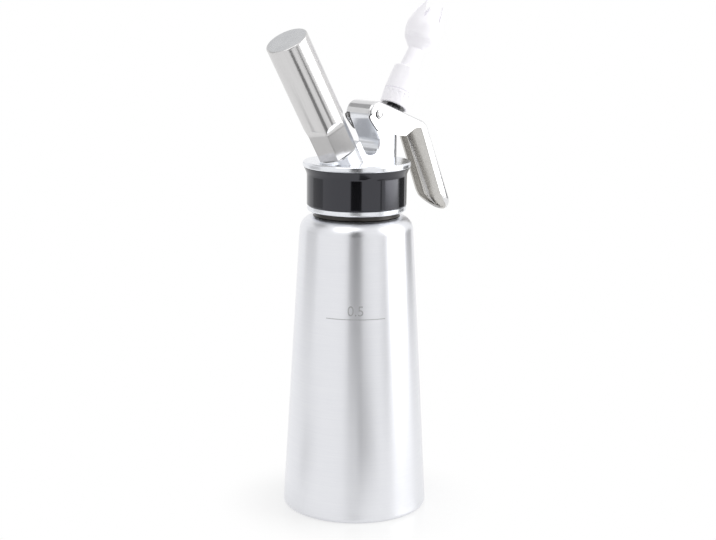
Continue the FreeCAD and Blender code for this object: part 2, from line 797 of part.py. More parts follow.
def make_decorating_tip():
    """Moulded tulip tip: tapered stem, round bulb, and six pointed tines that close in."""
    skin = d.tip_wall
    bulb, mouth, neck = d.tip_bulb, d.tip_mouth, d.tip_neck
    low = d.tip_neck_level
    mid = d.tip_bulb_level
    body = turned("decorating_tip", [
        (3, d.tip_spigot),
        (d.tip_spigot_radius - 0.05, d.tip_spigot, 0.4),
        (d.tip_spigot_radius - 0.05, d.adapter_top + 0.3),
        (d.tip_stem, d.adapter_top + 0.8, 0.3),
        (neck, low, 0.8),
        (bulb - 1.4, low + 6.5, 6),
        (bulb + 0.2, mid, 12),
        (mouth, d.tip_end),
        (mouth - skin * 0.8, d.tip_end),
        (bulb + 0.2 - skin, mid, 11),
        (bulb - 1.4 - skin, low + 7, 5),
        (neck - skin, low + 1, 0.6),
        (3, d.adapter_top),
    ])
    notch = new_sketch(body, "notch_outline")
    half_top = mouth * 0.46
    draw_outline(notch, [
        (-0.35, d.tine_root),
        (0.35, d.tine_root),
        (half_top, d.tip_end + 0.2),
        (-half_top, d.tip_end + 0.2),
    ])
    cut = pocket(body, notch, "notch", as_size(16), both=False)
    polar(body, cut, notch, 6)
    on_valve_axis(body)


# ---- lever --------------------------------------------------------------------------------


def lever_solid(body, name, inset, rounding, beyond):
    """One side of the lever's sheet as a solid: its outside, or with an inset its inside."""
    slope = d.web_slope
    rear = d.lever_rear - inset
    rear_x = d.pin_x - rear
    top_x = d.pin_x + sine(slope) * rear
    top_z = d.pin_z + cosine(slope) * rear
    fall = sine(slope) / cosine(slope)
    # The knee and the end move in with the sheet's thickness along their own bisectors.
    knee_x = d.knee_x - inset * 0.72
    knee_z = top_z - (knee_x - top_x) * fall
    end_x = d.handle_end_x - inset
    end_z = knee_z - (end_x - knee_x) * d.handle_steepness
    side = new_sketch(body, name + "_side")
    draw_outline(side, [
        (rear_x, top_z + (top_x - rear_x) * fall, rear - 0.15),
        (knee_x, knee_z, as_size(8) - inset),
        (end_x, end_z),
    ] + beyond(rear_x, end_x, end_z))
    pad(body, side, name + "_plate", d.lever_width - inset * 2)

    # One edge of the handle's back on each cheek. The bend runs on from it over the whole web.
    bends = []
    half = DIMENSIONS["lever_width"] / 2 - inset.number
    for number, edge in enumerate(body.Shape.Edges, start=1):
        box = edge.BoundBox
        on_cheek = box.YLength < 0.01 and abs(abs(box.YMax) - half) < 0.01
        middle = edge.valueAt((edge.FirstParameter + edge.LastParameter) / 2)
        off_back = end_x.number - middle.x - (middle.z - end_z.number) / DIMENSIONS["handle_steepness"]
        if on_cheek and abs(off_back) < 0.1:
            bends.append(f"Edge{number}")
    plate = body.Tip
    bend = body.newObject("PartDesign::Fillet", name + "_bends")
    bend.Base = (plate, bends)
    bind(bend, "Radius", rounding)
    doc.recompute()

    # The handle's end is round in front view.
    low = d.handle_low + inset
    half_width = d.lever_width / 2 - inset
    far = half_width + 2
    top = low + half_width
    end = new_sketch(body, name + "_end_outline", plane="YZ_Plane")
    draw_outline(end, [
        (-half_width, top),
        (-half_width, low, half_width - 0.05),
        (half_width, low, half_width - 0.05),
        (half_width, top),
        (far, top),
        (far, low - 12),
        (-far, low - 12),
        (-far, top),
    ])
    pocket(body, end, name + "_end", as_size(200))
    return body


def make_lever():
    """Pressed from one stainless sheet: two cheeks, a web that rolls over the rear end, and a
    round ended scoop for the fingers, open towards the bottle."""
    blank = doc.addObject("PartDesign::Body", "lever_outside")
    lever_solid(blank, "outside", as_size(0), d.lever_bend, lambda rear_x, end_x, end_z: [
        (end_x - 1.2, end_z),
        (62.2, 177.4, 20),
        (43.1, 221.6, 1.5),
        (37.6, 221.5, 2.5),
        (29.6, 217.2, 4),
        (8.4, 221.4, 5),
        (rear_x, 228.4),
    ])

    hole = new_sketch(blank, "lever_pin_hole")
    draw_circle(hole, d.pin_x, d.pin_z, d.pin_radius + 0.02)
    pocket(blank, hole, "pin_holes", d.lever_width + 4)

    slot = new_sketch(blank, "stem_slot_outline", plane="XY_Plane", lift=as_size(222))
    half = d.stem_slot_width / 2
    draw_outline(slot, [
        (d.stem_slot_foot, -half, half - 0.05),
        (d.stem_slot_end, -half, half - 0.05),
        (d.stem_slot_end, half, half - 0.05),
        (d.stem_slot_foot, half, half - 0.05),
    ])
    pocket(blank, slot, "stem_slot", as_size(20), both=False, flip=True)

    # The web is sheared square at the rear, level with the pin. Below it only the cheeks run on.
    shear = new_sketch(blank, "web_end_outline", plane="YZ_Plane", lift=d.pin_x - d.lever_rear - 1)
    across = d.lever_width / 2 - d.sheet - 0.05
    draw_outline(shear, [
        (-across, d.web_end - 12),
        (across, d.web_end - 12),
        (across, d.web_end),
        (-across, d.web_end),
    ])
    pocket(blank, shear, "web_end", d.sheet * 2 + 2.1)

    hollow = doc.addObject("PartDesign::Body", "lever_inside")
    lever_solid(hollow, "inside", d.sheet, d.lever_bend - d.sheet, lambda rear_x, end_x, end_z: [
        (60, end_z - 2),
        (rear_x, 200),
    ])
    lever = doc.addObject("Part::Cut", "lever")
    lever.Base = blank
    lever.Tool = hollow
    lever.Label = "lever"
    made.append(lever)
    doc.recompute()


def make_lever_pin():
    """Rivet through both cheeks, with a low domed head outside each."""
    half = d.lever_width / 2
    head = d.pin_head
    body = turned("lever_pin", [
        (0, -half - 1.1),
        (1.2, -half - 1.1, 0.8),
        (head, -half - 0.5, 0.3),
        (head, -half),
        (d.pin_radius, -half),
        (d.pin_radius, half),
        (head, half),
        (head, half + 0.5, 0.3),
        (1.2, half + 1.1, 0.8),
        (0, half + 1.1),
    ])
    across_the_lever(body)


def make_pivot_bush():
    """Brass bush in the arm's eye."""
    half = d.arm_width / 2
    bore = d.pin_radius + 0.05
    body = turned("pivot_bush", [
        (bore, -half),
        (d.bush_radius - 0.01, -half),
        (d.bush_radius - 0.01, half),
        (bore, half),
    ])
    across_the_lever(body)


def across_the_lever(item):
    """Lays a piece modelled upright along the lever's pivot."""
    start = FreeCAD.Vector(d.pin_x.number, 0, d.pin_z.number)
    item.Placement = FreeCAD.Placement(start, FreeCAD.Rotation(FreeCAD.Vector(1, 0, 0), 90))
    bind(item, ".Placement.Base.x", d.pin_x)
    bind(item, ".Placement.Base.z", d.pin_z)


MAKERS = [
    make_bottle, make_head_gasket, make_head_body, make_grip_ring, make_piercing_pin, make_piercing_seal,
    make_inlet_valve, make_gas_charger, make_charger_holder, make_valve_stem, make_valve_disc, make_valve_nut,
    make_valve_guide, make_valve_spring, make_nozzle_seal, make_nozzle_adapter, make_decorating_tip,
    make_lever, make_lever_pin, make_pivot_bush,
]
for maker in MAKERS:
    maker()
    print(maker.__name__, round(made[-1].Shape.Volume, 2), made[-1].Shape.isValid(), flush=True)
make_stem_ring("stem_ring_lower", as_size(-1))
make_stem_ring("stem_ring_upper", as_size(3))

doc.recompute()
for item in doc.Objects:
    if "Invalid" in item.State or "Error" in item.State:
        raise RuntimeError(f"{item.Name} failed: {item.State}")
os.makedirs("parts", exist_ok=True)
for body in made:
    if body.Shape.isNull() or not body.Shape.isValid():
        raise RuntimeError(f"{body.Label} has no valid shape")
    body.Shape.exportStep(os.path.join("parts", body.Label + ".step"))
print("exported", len(made))
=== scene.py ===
import math
import bpy
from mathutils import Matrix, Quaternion, Vector


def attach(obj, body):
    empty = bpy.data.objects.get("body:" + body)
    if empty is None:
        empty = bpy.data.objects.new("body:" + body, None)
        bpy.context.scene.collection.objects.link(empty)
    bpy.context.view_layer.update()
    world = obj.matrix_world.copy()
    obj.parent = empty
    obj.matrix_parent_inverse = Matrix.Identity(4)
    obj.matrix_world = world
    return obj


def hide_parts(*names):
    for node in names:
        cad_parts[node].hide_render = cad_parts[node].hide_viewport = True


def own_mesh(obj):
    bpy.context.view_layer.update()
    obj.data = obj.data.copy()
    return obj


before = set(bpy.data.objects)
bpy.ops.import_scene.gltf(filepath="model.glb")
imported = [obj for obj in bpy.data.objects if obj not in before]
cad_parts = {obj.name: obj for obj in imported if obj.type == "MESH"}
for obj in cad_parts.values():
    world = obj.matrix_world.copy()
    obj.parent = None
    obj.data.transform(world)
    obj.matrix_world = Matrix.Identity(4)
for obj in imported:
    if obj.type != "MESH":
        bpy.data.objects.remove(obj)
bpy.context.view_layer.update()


# ---- Camera -----------------------------------------------------------------------------
# A short telephoto in front and to the left of the dispenser, a little above its head, and
# turned by half a degree, so that the bottle is seen upright.

camera_place = Vector((-0.6012, -0.6028, 0.3130))
camera_aim = Vector((0.00079, -0.00079, 0.14043))
camera_roll = math.radians(0.483)
lens_length, sensor_width = 75, 36

bpy.ops.object.select_all(action="DESELECT")
bpy.ops.object.camera_add(location=camera_place)
camera = bpy.context.object
camera.name = "camera"
camera.data.lens = lens_length
camera.data.sensor_width = sensor_width
camera.rotation_mode = "QUATERNION"
towards = (camera_aim - camera_place).to_track_quat("-Z", "Y")
camera.rotation_quaternion = towards @ Quaternion((0, 0, 1), camera_roll)
bpy.context.scene.camera = camera


# ---- Studio -----------------------------------------------------------------------------
# A white table top, a white tent of even light, and two soft boxes. Dark cloths hang round
# the tent where the camera doesn't look: steel shows them as its darker bands.

def to_linear(code):
    """An sRGB colour, written as six hex digits, as the linear numbers that a shader takes."""
    parts = [int(code[i:i + 2], 16) / 255 for i in (0, 2, 4)]
    return [p / 12.92 if p <= 0.04045 else ((p + 0.055) / 1.055) ** 2.4 for p in parts] + [1.0]


def add_node(owner, kind, settings=None, links=None):
    """Adds one node to a material or world, sets its sockets or its own values, and links it."""
    node = owner.node_tree.nodes.new(kind)
    for key, value in (settings or {}).items():
        if isinstance(key, int) or key in node.inputs:
            node.inputs[key].default_value = value
        else:
            setattr(node, key, value)
    for key, source in (links or {}).items():
        owner.node_tree.links.new(source, node.inputs[key])
    return node


def blank_material(name):
    """A new material with an empty node tree."""
    material = bpy.data.materials.new(name)
    material.use_nodes = True
    material.node_tree.nodes.clear()
    return material


def seen_directly(owner):
    """1 where the camera, a reflection or a clear view looks, and 0 for light that falls on things."""
    ray = add_node(owner, "ShaderNodeLightPath")
    straight = add_node(owner, "ShaderNodeMath", {"operation": "MAXIMUM"},
                        {0: ray.outputs["Is Camera Ray"], 1: ray.outputs["Is Glossy Ray"]})
    both = add_node(owner, "ShaderNodeMath", {"operation": "MAXIMUM"},
                    {0: straight.outputs[0], 1: ray.outputs["Is Transmission Ray"]})
    return both.outputs[0]


bpy.context.scene.view_settings.view_transform = "Standard"
tent_light = 0.66
world = bpy.data.worlds.new("white_tent")
bpy.context.scene.world = world
world.use_nodes = True
world.node_tree.nodes.clear()
level = add_node(world, "ShaderNodeMapRange", {"To Min": tent_light, "To Max": 1.0},
                 {"Value": seen_directly(world)})
white = add_node(world, "ShaderNodeBackground", {"Color": (1, 1, 1, 1)},
                 {"Strength": level.outputs["Result"]})
add_node(world, "ShaderNodeOutputWorld", {}, {"Surface": white.outputs[0]})

# The table top is plain white board with a faint gloss. It keeps a soft shadow close to the
# bottle's foot, and is as white as the tent further out.
table_size = 6.0
board_share, shadow_from, shadow_to = 0.4, 0.036, 0.085
bpy.ops.object.select_all(action="DESELECT")
bpy.ops.mesh.primitive_plane_add(size=table_size)
table = bpy.context.object
table.name = "table_top"
board = blank_material("white_board")
place = add_node(board, "ShaderNodeTexCoord")
distance = add_node(board, "ShaderNodeVectorMath", {"operation": "LENGTH"},
                    {0: place.outputs["Object"]})
nearness = add_node(board, "ShaderNodeMapRange",
                    {"From Min": shadow_from, "From Max": shadow_to, "To Min": board_share,
                     "To Max": 0.0, "interpolation_type": "SMOOTHSTEP"},
                    {"Value": distance.outputs["Value"]})
grain = add_node(board, "ShaderNodeTexNoise", {"Scale": 900.0, "Detail": 2.0},
                 {"Vector": place.outputs["Object"]})
tooth = add_node(board, "ShaderNodeBump", {"Strength": 0.02, "Distance": 0.0002},
                 {"Height": grain.outputs["Fac"]})
paper = add_node(board, "ShaderNodeBsdfPrincipled",
                 {"Base Color": to_linear("F4F4F4"), "Roughness": 0.16},
                 {"Normal": tooth.outputs["Normal"]})
shine = add_node(board, "ShaderNodeEmission", {"Color": (1, 1, 1, 1), "Strength": 1.0})
lit = add_node(board, "ShaderNodeMixShader", {},
               {0: nearness.outputs["Result"], 1: shine.outputs[0], 2: paper.outputs[0]})
plain = add_node(board, "ShaderNodeMixShader", {},
                 {0: seen_directly(board), 1: paper.outputs[0], 2: lit.outputs[0]})
add_node(board, "ShaderNodeOutputMaterial", {}, {"Surface": plain.outputs[0]})
table.data.materials.append(board)


def facing(turn):
    """The level direction that lies turn degrees to the right of the camera, seen from the bottle."""
    angle = math.radians(turn)
    back = Vector((-1, -1, 0)).normalized()
    right = Vector((1, -1, 0)).normalized()
    return back * math.cos(angle) + right * math.sin(angle)


def soft_box(name, turn, height, reach, width, tall, watts):
    """A soft box at that turn and height, facing the middle of the dispenser."""
    middle = Vector((0, 0, 0.14))
    spot = facing(turn) * reach + Vector((0, 0, height))
    bpy.ops.object.select_all(action="DESELECT")
    bpy.ops.object.light_add(type="AREA", location=spot)
    lamp = bpy.context.object
    lamp.name = name
    lamp.data.shape = "RECTANGLE"
    lamp.data.size = width
    lamp.data.size_y = tall
    lamp.data.energy = watts
    lamp.rotation_euler = (middle - spot).to_track_quat("-Z", "Y").to_euler()


soft_box("soft_box_right", turn=88, height=0.50, reach=1.0, width=0.86, tall=1.2, watts=7.5)
soft_box("soft_box_above", turn=-30, height=1.3, reach=0.7, width=0.9, tall=0.9, watts=3.0)


def dark_cloth(name, centre, towards, width, length, grey):
    """A cloth that only shows in reflections. It faces the way that towards points, and where it
    hangs its length runs upright."""
    bpy.ops.object.select_all(action="DESELECT")
    bpy.ops.mesh.primitive_plane_add(size=1, location=centre)
    sheet = bpy.context.object
    sheet.name = name
    sheet.scale = (width, length, 1)
    sheet.rotation_euler = towards.to_track_quat("Z", "Y").to_euler()
    fabric = blank_material(name)
    glow = add_node(fabric, "ShaderNodeEmission", {"Color": (grey, grey, grey, 1), "Strength": 1.0})
    add_node(fabric, "ShaderNodeOutputMaterial", {}, {"Surface": glow.outputs[0]})
    sheet.data.materials.append(fabric)
    sheet.visible_camera = False
    sheet.visible_diffuse = False
    sheet.visible_shadow = False
    return sheet


def hang(name, turn, reach, width, grey, tall=1.2):
    """Hangs a dark cloth down to the table, facing the dispenser."""
    spot = facing(turn) * reach
    dark_cloth(name, spot + Vector((0, 0, tall / 2)), -spot, width, tall, grey)


hang("cloth_front", turn=-1, reach=0.93, width=0.40, grey=0.03)
hang("cloth_back_right", turn=127, reach=0.95, width=0.48, grey=0.14, tall=0.17)
hang("cloth_left", turn=-100, reach=1.0, width=0.62, grey=0.60, tall=0.26)
hang("cloth_edge", turn=57, reach=0.95, width=0.05, grey=0.25)

# Blender measures in metres, and the dispenser's own sizes are given in millimetres.
MM = 0.001


def lay(name, x, y, turned_by, width, length, grey):
    """Lays a dark cloth on the table, in millimetres. Only the steel above looks down on it."""
    level = 1
    sheet = dark_cloth(name, Vector((x, y, level)) * MM, Vector((0, 0, 1)),
                       width * MM, length * MM, grey)
    sheet.rotation_euler = (0, 0, math.radians(turned_by))


lay("cloth_low_left", x=-138, y=-248, turned_by=138, width=102, length=230, grey=0.22)
lay("cloth_low_front", x=105, y=-580, turned_by=165, width=160, length=330, grey=0.25)
lay("cloth_low_side", x=-144, y=92, turned_by=20, width=84, length=84, grey=0.74)


def sling(name, turn, rise, reach, width, tall, grey):
    """Slings a cloth at rise degrees above the level of the dispenser's head, and facing it."""
    head = Vector((0, 0, 0.23))
    rise = math.radians(rise)
    spot = head + facing(turn) * reach * math.cos(rise) + Vector((0, 0, reach * math.sin(rise)))
    dark_cloth(name, spot, head - spot, width, tall, grey)


sling("cloth_mid_left", turn=-98, rise=18, reach=1.1, width=0.70, tall=0.42, grey=0.78)
sling("cloth_high_left", turn=-118, rise=43, reach=1.2, width=0.85, tall=0.45, grey=0.42)
sling("cloth_high_back", turn=-158, rise=40, reach=1.2, width=0.75, tall=0.50, grey=0.88)
sling("cloth_strip", turn=98, rise=-3, reach=0.95, width=0.11, tall=0.075, grey=0.25)


# ---- Bottle -----------------------------------------------------------------------------
# Deep drawn from one stainless sheet: flat foot with a pressed ring, tapered side, rolled
# shoulder, and a thin neck with a rolled thread. The side is brushed round on a lathe.

def work_on(shape, mode="OBJECT"):
    """Makes one piece the only selected one. Before a new piece is added it is called with the
    camera, so that no other piece is still selected or open for editing."""
    if bpy.context.object and bpy.context.object.mode != "OBJECT":
        bpy.ops.object.mode_set(mode="OBJECT")
    bpy.ops.object.select_all(action="DESELECT")
    shape.select_set(True)
    bpy.context.view_layer.objects.active = shape
    if mode != "OBJECT":
        bpy.ops.object.mode_set(mode=mode)


def pick(shape, test, kind="EDGE"):
    """Selects the points, edges or faces whose corners all pass the test, given in millimetres."""
    work_on(shape, "EDIT")
    bpy.ops.mesh.select_mode(type=kind)
    bpy.ops.mesh.select_all(action="DESELECT")
    bpy.ops.object.mode_set(mode="OBJECT")
    mesh = shape.data
    passed = [test(point.co / MM) for point in mesh.vertices]
    if kind == "VERT":
        for point in mesh.vertices:
            point.select = passed[point.index]
    else:
        for item in (mesh.edges if kind == "EDGE" else mesh.polygons):
            item.select = all(passed[index] for index in item.vertices)
    bpy.ops.object.mode_set(mode="EDIT")


def on_ring(radius, level):
    """The test for points on a ring round the upright axis."""
    slack = 0.002

    def test(point):
        return abs(math.hypot(point.x, point.y) - radius) < slack and abs(point.z - level) < slack
    return test


def face_outward():
    """Turns all faces of the piece that is being edited outward, and ends the editing."""
    bpy.ops.mesh.select_all(action="SELECT")
    bpy.ops.mesh.normals_make_consistent(inside=False)
    bpy.ops.object.mode_set(mode="OBJECT")


def settle():
    """Works the selected piece's place, turn and size into its mesh."""
    bpy.ops.object.transform_apply(location=True, rotation=True, scale=True)


def turned(name, corners, around=96):
    """A turned piece, from the (radius, level, rounding) corners of its outline in millimetres: a
    circle drawn out ring by ring, closed at its ends, with each corner rounded."""
    turn_per_facet = 0.22
    corners = [tuple(corner) + (0,) * (3 - len(corner)) for corner in corners]
    rings = [corner for corner in corners if corner[0] > 0]
    work_on(camera)
    bpy.ops.mesh.primitive_circle_add(vertices=around, radius=rings[0][0] * MM,
                                      location=(0, 0, rings[0][1] * MM))
    shape = bpy.context.object
    shape.name = name
    settle()
    bpy.ops.object.mode_set(mode="EDIT")
    bpy.ops.mesh.select_mode(type="EDGE")
    bpy.ops.mesh.select_all(action="SELECT")
    for (radius, level, _), (wider, higher, _) in zip(rings, rings[1:]):
        step = (0, 0, (higher - level) * MM)
        bpy.ops.mesh.extrude_region_move(TRANSFORM_OT_translate={"value": step})
        if wider != radius:
            bpy.ops.transform.resize(value=(wider / radius, wider / radius, 1),
                                     center_override=(0, 0, higher * MM))
    first, last = on_ring(*rings[0][:2]), on_ring(*rings[-1][:2])
    if corners[0][0] == 0 and corners[-1][0] == 0:
        for end in (first, last):
            pick(shape, end)
            bpy.ops.mesh.edge_face_add()
    else:
        pick(shape, lambda point: first(point) or last(point))
        bpy.ops.mesh.bridge_edge_loops()
    for number, (radius, level, rounding) in enumerate(corners):
        if rounding:
            before, after = corners[number - 1], corners[(number + 1) % len(corners)]
            way_in = math.atan2(level - before[1], radius - before[0])
            way_out = math.atan2(after[1] - level, after[0] - radius)
            turn = abs((way_out - way_in + math.pi) % math.tau - math.pi)
            pick(shape, on_ring(radius, level))
            bpy.ops.mesh.bevel(offset=rounding * math.tan(turn / 2) * MM, offset_type="OFFSET",
                               segments=max(2, math.ceil(turn / turn_per_facet)), affect="EDGES",
                               clamp_overlap=False)
    face_outward()
    return shape


def smooth(shape, sharp=35):
    """Shades a piece smooth up to that angle, with its large faces kept flat."""
    work_on(shape)
    bpy.ops.object.shade_smooth_by_angle(angle=math.radians(sharp))
    bpy.ops.object.modifier_add(type="WEIGHTED_NORMAL")
    weights = shape.modifiers[-1]
    weights.keep_sharp = True
    bpy.ops.object.modifier_apply(modifier=weights.name)


def fit(shape, material, body, slot, *nodes):
    """Gives a finished piece its material, its body and its place among the CAD nodes."""
    if shape.data.materials:
        shape.data.materials[0] = material
    else:
        shape.data.materials.append(material)
    if nodes:
        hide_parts(*nodes)
    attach(shape, body)


def wind(shape, rise, turns, around):
    """Sweeps a section round the upright axis, and up by its rise in millimetres at each turn."""
    work_on(shape)
    bpy.ops.object.modifier_add(type="SCREW")
    wound = shape.modifiers[-1]
    wound.screw_offset = rise * MM
    wound.iterations = turns
    wound.steps = around
    wound.render_steps = around
    wound.use_merge_vertices = False
    bpy.ops.object.modifier_apply(modifier=wound.name)


def thread(name, root, crest, foot, pitch, turns, around):
    """A rolled thread on a core: one round ridge wound up the axis, its ends run into the core."""
    overlap, half_ridge, run_out, shrunk_to = 0.05, pitch * 0.3, 0.6, 0.2
    near_end, flush = pitch * 0.35, 0.001
    work_on(camera)
    bpy.ops.mesh.primitive_circle_add(vertices=10, radius=MM, rotation=(math.pi / 2, 0, 0),
                                      location=((root - overlap) * MM, 0, foot * MM))
    shape = bpy.context.object
    shape.name = name
    shape.scale = (crest - root + overlap, half_ridge, 1)
    settle()
    wind(shape, pitch, turns, around)
    for end in (foot, foot + pitch * turns):
        pick(shape, lambda point: point.x > 0 and abs(point.y) < flush
             and abs(point.z - end) < near_end, "VERT")
        bpy.ops.transform.resize(value=(shrunk_to, shrunk_to, shrunk_to),
                                 center_override=((root - run_out) * MM, 0, end * MM))
        bpy.ops.mesh.edge_face_add()
    face_outward()
    smooth(shape, sharp=60)
    return shape


def own_axes(material, foot=(0, 0, 0), tilt=0.0):
    """A piece's own coordinates in millimetres, up an axis that leans by tilt degrees."""
    place = add_node(material, "ShaderNodeTexCoord")
    return add_node(material, "ShaderNodeMapping",
                    {"vector_type": "TEXTURE", "Location": [value * MM for value in foot],
                     "Rotation": (0, math.radians(tilt), 0), "Scale": (MM, MM, MM)},
                    {"Vector": place.outputs["Object"]})


def turning_marks(material, spacing, length, foot=(0, 0, 0), tilt=0.0):
    """Marks that run round an axis: length millimetres long, and spacing millimetres apart."""
    place = own_axes(material, foot, tilt)
    stretched = add_node(material, "ShaderNodeMapping",
                         {"Scale": (1 / length, 1 / length, 1 / spacing)},
                         {"Vector": place.outputs["Vector"]})
    return add_node(material, "ShaderNodeTexNoise", {"Scale": 1.0, "Detail": 3.0, "Roughness": 0.6},
                    {"Vector": stretched.outputs["Vector"]})


def metal(name, bright, dull, smooth_to, rough_to, depth, marks, stretch=0.0):
    """Bare metal. Its colour, its roughness and a relief depth millimetres high follow its marks.
    Stretch draws its highlights out across marks that run round the upright axis."""
    material = blank_material(name)
    lines = marks(material)
    noise_low, noise_high = 0.3, 0.7
    colour = add_node(material, "ShaderNodeMix",
                      {"data_type": "RGBA", 6: to_linear(bright), 7: to_linear(dull)},
                      {0: lines.outputs["Fac"]})
    sheen = add_node(material, "ShaderNodeMapRange",
                     {"From Min": noise_low, "From Max": noise_high,
                      "To Min": smooth_to, "To Max": rough_to},
                     {"Value": lines.outputs["Fac"]})
    relief = add_node(material, "ShaderNodeBump", {"Strength": 1.0, "Distance": depth * MM},
                      {"Height": lines.outputs["Fac"]})
    surface = add_node(material, "ShaderNodeBsdfPrincipled",
                       {"Metallic": 1.0, "Anisotropic": stretch, "Anisotropic Rotation": 0.25},
                       {"Base Color": colour.outputs[2], "Roughness": sheen.outputs["Result"],
                        "Normal": relief.outputs["Normal"]})
    if stretch:
        around = add_node(material, "ShaderNodeTangent", {"direction_type": "RADIAL", "axis": "Z"})
        material.node_tree.links.new(around.outputs["Tangent"], surface.inputs["Tangent"])
    add_node(material, "ShaderNodeOutputMaterial", {}, {"Surface": surface.outputs[0]})
    return material


# Brushed satin, which spreads light into soft upright bands. Its marks are drawn wider apart
# than real ones, which are too fine to show.
brushed_sheet = metal("brushed_stainless_sheet", "EAEBEE", "E3E4E9",
                      smooth_to=0.28, rough_to=0.34, depth=0.0006,
                      marks=lambda m: turning_marks(m, spacing=0.5, length=25), stretch=0.6)
foot_radius, shoulder_radius, shoulder_level = 42.3, 32.4, 172.9
neck_root, neck_bore, mouth_level = 24.4, 23.4, 195.8
wall, thinned = 1.2, 0.1
floor_level = wall * 1.5
ring_inside, ring_outside, ring_slope, ring_rise = 32, 36, 1, 0.8
shell = turned("bottle_shell", [
    (0, 0),
    (ring_inside, 0),
    (ring_inside + ring_slope, ring_rise, 0.4),
    (ring_outside - ring_slope, ring_rise, 0.4),
    (ring_outside, 0),
    (foot_radius, 0, 2.5),
    (shoulder_radius, shoulder_level, 8),
    (neck_root, shoulder_level, 0.8),
    (neck_root, mouth_level, 0.4),
    (neck_bore, mouth_level, 0.4),
    (neck_bore, shoulder_level - wall, 1.2),
    (shoulder_radius - wall - thinned, shoulder_level - wall, 6.8),
    (foot_radius - wall, floor_level, 2.5),
    (0, floor_level),
], around=180)
smooth(shell)
# The neck isn't brushed: it is as dull as drawing and thread rolling left it. Its dark colour is painted
# shade, for the gap between the head's skirt and the shoulder.
neck_painted_shade = metal("dull_neck_painted_shade", "4C4A48", "3E3C3B",
                   smooth_to=0.30, rough_to=0.42, depth=0.002,
                   marks=lambda m: turning_marks(m, spacing=0.8, length=10))
shell.data.materials.append(None)
shell.data.materials.append(neck_painted_shade)
round_neck, above_side = 26, 150
pick(shell, lambda point: math.hypot(point.x, point.y) < round_neck and point.z > above_side, "FACE")
shell.active_material_index = 1
bpy.ops.object.material_slot_assign()
bpy.ops.object.mode_set(mode="OBJECT")
fit(shell, brushed_sheet, "bottle", "steel_shell", "bottle")
# The thread takes the same painted shade as the neck.
neck_thread = thread("neck_thread", root=neck_root, crest=25.2, foot=178.6, pitch=4.0,
                     turns=3, around=96)
fit(neck_thread, neck_painted_shade, "bottle", "steel_shell")

# Fill mark: a fine line and a plain number, etched on the side that faces the front left. They
# read as a matt grey on the brushed steel.
etched = metal("dark_etching", "C2C2C4", "B8B8BA",
               smooth_to=0.5, rough_to=0.6, depth=0.001,
               marks=lambda m: turning_marks(m, spacing=0.4, length=2))
mark_level, mark_width, mark_half_turn = 118.7, 0.5, 28
number_height, number_rise, number_reach = 8.2, 2.4, 36.5
mark_gap, mark_depth = 0.03, 0.02


def side_radius(level):
    """The bottle's outside radius at a level of its tapered side."""
    return foot_radius - (foot_radius - shoulder_radius) * level / shoulder_level


work_on(camera)
bpy.ops.mesh.primitive_circle_add(vertices=720, radius=side_radius(mark_level) * MM,
                                  location=(0, 0, mark_level * MM))
fill_line = bpy.context.object
fill_line.name = "fill_line"
settle()
bpy.ops.object.mode_set(mode="EDIT")
bpy.ops.mesh.select_all(action="SELECT")
bpy.ops.mesh.extrude_region_move(TRANSFORM_OT_translate={"value": (0, 0, mark_width * MM)})
narrower = side_radius(mark_level + mark_width) / side_radius(mark_level)
bpy.ops.transform.resize(value=(narrower, narrower, 1), center_override=(0, 0, mark_level * MM))
front_left = facing(0)
ends = math.cos(math.radians(mark_half_turn))
pick(fill_line, lambda point: front_left.dot(Vector((point.x, point.y, 0)).normalized()) < ends, "VERT")
bpy.ops.mesh.delete(type="VERT")
face_outward()

# The number starts flat, just outside the wall, and is wrapped onto it as the line is.
work_on(camera)
number_foot = Vector((0, 0, (mark_level + number_rise) * MM))
bpy.ops.object.text_add(radius=number_height * MM, rotation=(math.pi / 2, 0, -math.pi / 4),
                        location=front_left * number_reach * MM + number_foot)
fill_number = bpy.context.object
fill_number.name = "fill_number"
fill_number.data.body = "0.5"
fill_number.data.align_x = "CENTER"
bpy.ops.object.convert(target="MESH")
settle()
bpy.ops.object.mode_set(mode="EDIT")
bpy.ops.mesh.select_all(action="SELECT")
bpy.ops.mesh.quads_convert_to_tris()
bpy.ops.mesh.subdivide(number_cuts=4)
bpy.ops.object.mode_set(mode="OBJECT")
for mark in (fill_line, fill_number):
    work_on(mark)
    bpy.ops.object.modifier_add(type="SHRINKWRAP")
    wrapped = mark.modifiers[-1]
    wrapped.target = shell
    wrapped.wrap_mode = "ABOVE_SURFACE"
    wrapped.offset = mark_gap * MM
    bpy.ops.object.modifier_apply(modifier=wrapped.name)
    bpy.ops.object.modifier_add(type="SOLIDIFY")
    thick = mark.modifiers[-1]
    thick.thickness = mark_depth * MM
    thick.offset = -1
    bpy.ops.object.modifier_apply(modifier=thick.name)
    fit(mark, etched, "bottle", "steel_shell")


# ---- Head gasket ------------------------------------------------------------------------
# A moulded ring of grey silicone, pressed between the bottle's mouth and the head to seal them.
# It stays in the head when the bottle is unscrewed.

def give(node, material):
    """Gives a node of the frame its finish."""
    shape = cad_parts[node]
    shape.data.materials.clear()
    shape.data.materials.append(material)


